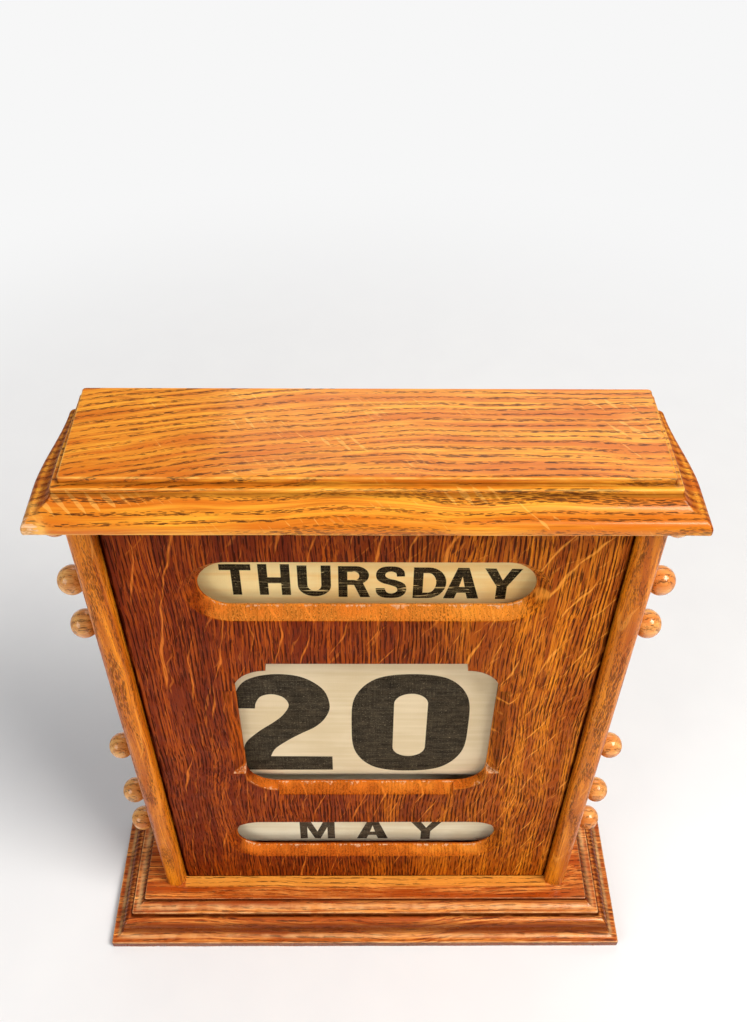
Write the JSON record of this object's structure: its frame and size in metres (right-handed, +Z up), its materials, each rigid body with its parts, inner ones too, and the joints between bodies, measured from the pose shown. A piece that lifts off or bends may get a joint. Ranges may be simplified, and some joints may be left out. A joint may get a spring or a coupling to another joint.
{
  "type": "perpetual desk calendar",
  "caption": "Perpetual desk calendar: moulded oak case whose front windows show weekday, date and month on linen bands wound between rollers with ball knobs.",
  "frame": {"origin": "middle of the underside of the base, midway between its front and back edges", "axes": "+Z up, the windows face -Y, +X runs to the viewer's right along the rollers' axes"},
  "size_m": [0.252, 0.0698, 0.2988],
  "materials": {
    "oak": "shellacked quarter-sawn oak, warm red-brown with lighter ray flecks and dark pores",
    "turned_oak": "turned and polished oak",
    "roller_wood": "plain turned beech",
    "inner_wood": "plain sawn deal",
    "back_wood": "stained oak, thinly polished",
    "linen": "sized cream linen printed in black",
    "brass": "tarnished brass"
  },
  "bodies": {
    "case": {"base": "oak", "left_side": "oak", "right_side": "oak", "lid": "oak", "front_panel": "oak", "back_panel": "back_wood", "left_panel_strip": "inner_wood", "right_panel_strip": "inner_wood", "left_lid_batten": "inner_wood", "right_lid_batten": "inner_wood", "base_screws": "brass", "lid_screws": "brass", "back_screws": "brass", "day_band": "linen", "date_band": "linen", "month_band": "linen"},
    "day_upper": {"day_upper_roller": "roller_wood", "day_upper_winding": "linen", "day_upper_left_knob": "turned_oak", "day_upper_right_knob": "turned_oak"},
    "day_lower": {"day_lower_roller": "roller_wood", "day_lower_winding": "linen", "day_lower_left_knob": "turned_oak", "day_lower_right_knob": "turned_oak"},
    "date_upper": {"date_upper_roller": "roller_wood", "date_upper_winding": "linen", "date_upper_left_knob": "turned_oak", "date_upper_right_knob": "turned_oak"},
    "date_lower": {"date_lower_roller": "roller_wood", "date_lower_winding": "linen", "date_lower_left_knob": "turned_oak", "date_lower_right_knob": "turned_oak"},
    "month_upper": {"month_upper_roller": "roller_wood", "month_upper_winding": "linen", "month_upper_left_knob": "turned_oak", "month_upper_right_knob": "turned_oak"},
    "month_lower": {"month_lower_roller": "roller_wood", "month_lower_winding": "linen", "month_lower_left_knob": "turned_oak", "month_lower_right_knob": "turned_oak"}
  },
  "joints": [
    {"name": "day_upper_turn", "type": "hinge", "parent": "case", "child": "day_upper", "pos_m": [0, 0.0127, 0.2563], "axis": [1, 0, 0], "range_deg": [-636, 323.2]},
    {"name": "day_lower_turn", "type": "hinge", "parent": "case", "child": "day_lower", "pos_m": [0, 0.0127, 0.2243], "axis": [1, 0, 0], "range_deg": [-629.7, 320.2]},
    {"name": "date_upper_turn", "type": "hinge", "parent": "case", "child": "date_upper", "pos_m": [0, 0.0127, 0.1981], "axis": [1, 0, 0], "range_deg": [-7463.8, 5263.5]},
    {"name": "date_lower_turn", "type": "hinge", "parent": "case", "child": "date_lower", "pos_m": [0, 0.0127, 0.1091], "axis": [1, 0, 0], "range_deg": [-6755.8, 4764.4]},
    {"name": "month_upper_turn", "type": "hinge", "parent": "case", "child": "month_upper", "pos_m": [0, 0.0127, 0.0696], "axis": [1, 0, 0], "range_deg": [-619.8, 1116.1]},
    {"name": "month_lower_turn", "type": "hinge", "parent": "case", "child": "month_lower", "pos_m": [0, 0.0127, 0.0421], "axis": [1, 0, 0], "range_deg": [-630.1, 1134.3]}
  ],
  "couplings": [
    {"joint": "day_lower_turn", "follows": "day_upper_turn", "ratio": 0.98932},
    {"joint": "date_lower_turn", "follows": "date_upper_turn", "ratio": 0.90508},
    {"joint": "month_lower_turn", "follows": "month_upper_turn", "ratio": 1.0158}
  ]
}
